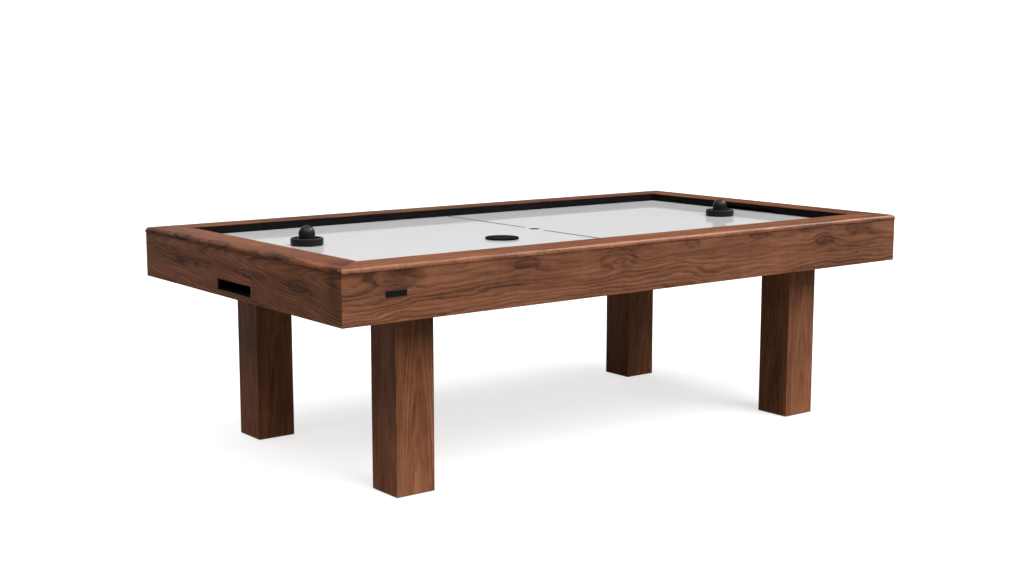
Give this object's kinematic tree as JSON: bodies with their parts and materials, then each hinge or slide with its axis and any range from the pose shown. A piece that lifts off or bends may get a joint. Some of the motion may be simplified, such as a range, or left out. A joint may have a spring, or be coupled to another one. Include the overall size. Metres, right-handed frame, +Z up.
{
  "type": "air hockey table",
  "caption": "Full-size home air hockey table: walnut cabinet on square boxed legs, sunken white air-fed rink with black banks, goal mouths, end puck returns, mallets and a puck.",
  "frame": {"origin": "on the floor, under the centre of the table", "axes": "+X along the length of the rink, from the end with the left mallet to the end with the right one; +Y across, from the side with the name plate to the side with the power inlet; +Z up"},
  "size_m": [2.624, 1.436, 0.8513],
  "materials": {
    "walnut": "satin oiled walnut veneer",
    "pine": "planed softwood, unfinished",
    "plywood": "plain birch-faced board",
    "white_laminate": "polished laminate pierced with small air holes",
    "black_edging": "satin",
    "black_bank": "satin",
    "chute_plastic": "fine-grained moulding",
    "zinc_steel": "bright zinc plate",
    "foot_black": "moulded pad on a steel stud",
    "blower_black": "satin powder coat",
    "gasket_foam": "closed-cell foam",
    "motor_can": "drawn steel",
    "sintered_bronze": "oiled",
    "fan_metal": "pressed",
    "panel_black": "satin",
    "inlet_plastic": "moulded",
    "rocker_red": "moulded",
    "lead_black": "flexible sheath",
    "plate_black": "blank plate",
    "mallet_black": "satin-gloss moulding",
    "felt_grey": "pressed felt",
    "puck_black": "satin-gloss moulding"
  },
  "bodies": {
    "table": {"near_side_apron": "walnut", "far_side_apron": "walnut", "left_end_apron": "walnut", "right_end_apron": "walnut", "corner_blocks": "pine", "side_ledgers": "pine", "rail_cleats": "pine", "leg_bearers": "pine", "mid_bearers": "pine", "near_top_rail": "walnut", "far_top_rail": "walnut", "left_top_rail": "walnut", "right_top_rail": "walnut", "near_edging": "black_edging", "far_edging": "black_edging", "left_edging": "black_edging", "right_edging": "black_edging", "near_bank": "black_bank", "far_bank": "black_bank", "left_bank": "black_bank", "right_bank": "black_bank", "playfield_panel": "white_laminate", "plenum_frame": "pine", "plenum_floor": "plywood", "left_goal_chute": "chute_plastic", "right_goal_chute": "chute_plastic", "left_slot_sleeve": "chute_plastic", "right_slot_sleeve": "chute_plastic", "leg_near_left": "walnut", "leg_near_right": "walnut", "leg_far_left": "walnut", "leg_far_right": "walnut", "leg_blocks": "pine", "foot_nuts": "zinc_steel", "leg_bolts": "zinc_steel", "leg_nuts_and_washers": "zinc_steel", "blower_housing": "blower_black", "blower_cover": "blower_black", "intake_guard": "zinc_steel", "blower_gasket": "gasket_foam", "blower_motor": "motor_can", "motor_bushings": "sintered_bronze", "pan_screws": "zinc_steel", "power_panel": "panel_black", "power_inlet": "inlet_plastic", "switch_body": "inlet_plastic", "motor_lead": "lead_black", "name_plate": "plate_black"},
    "fan": {"motor_shaft": "zinc_steel", "blower_impeller": "fan_metal"},
    "rocker": {"switch_rocker": "rocker_red"},
    "near_left_foot": {"foot_near_left": "foot_black"},
    "near_right_foot": {"foot_near_right": "foot_black"},
    "far_left_foot": {"foot_far_left": "foot_black"},
    "far_right_foot": {"foot_far_right": "foot_black"},
    "left_mallet": {"left_mallet_shell": "mallet_black", "left_mallet_felt": "felt_grey"},
    "right_mallet": {"right_mallet_shell": "mallet_black", "right_mallet_felt": "felt_grey"},
    "puck": {"puck": "puck_black"}
  },
  "joints": [
    {"name": "fan_spin", "type": "hinge", "parent": "table", "child": "fan", "pos_m": [0.032, 0, 0.596], "axis": [0, 1, 0], "continuous": true},
    {"name": "rocker_tilt", "type": "hinge", "parent": "table", "child": "rocker", "pos_m": [-0.026, 0.696, 0.735], "axis": [0, 0, 1], "range_deg": [0, 16]},
    {"name": "near_left_foot_screw", "type": "slide", "parent": "table", "child": "near_left_foot", "axis": [0, 0, -1], "range_m": [0, 0.025]},
    {"name": "near_right_foot_screw", "type": "slide", "parent": "table", "child": "near_right_foot", "axis": [0, 0, -1], "range_m": [0, 0.025]},
    {"name": "far_left_foot_screw", "type": "slide", "parent": "table", "child": "far_left_foot", "axis": [0, 0, -1], "range_m": [0, 0.025]},
    {"name": "far_right_foot_screw", "type": "slide", "parent": "table", "child": "far_right_foot", "axis": [0, 0, -1], "range_m": [0, 0.025]},
    {"name": "left_mallet_slide", "type": "slide", "parent": "table", "child": "left_mallet", "axis": [0, 1, 0], "range_m": [-0.619, 0.441]},
    {"name": "right_mallet_slide", "type": "slide", "parent": "table", "child": "right_mallet", "axis": [0, 1, 0], "range_m": [-0.441, 0.619]},
    {"name": "puck_slide", "type": "slide", "parent": "table", "child": "puck", "axis": [1, 0, 0], "range_m": [-0.54, 1.107]}
  ]
}
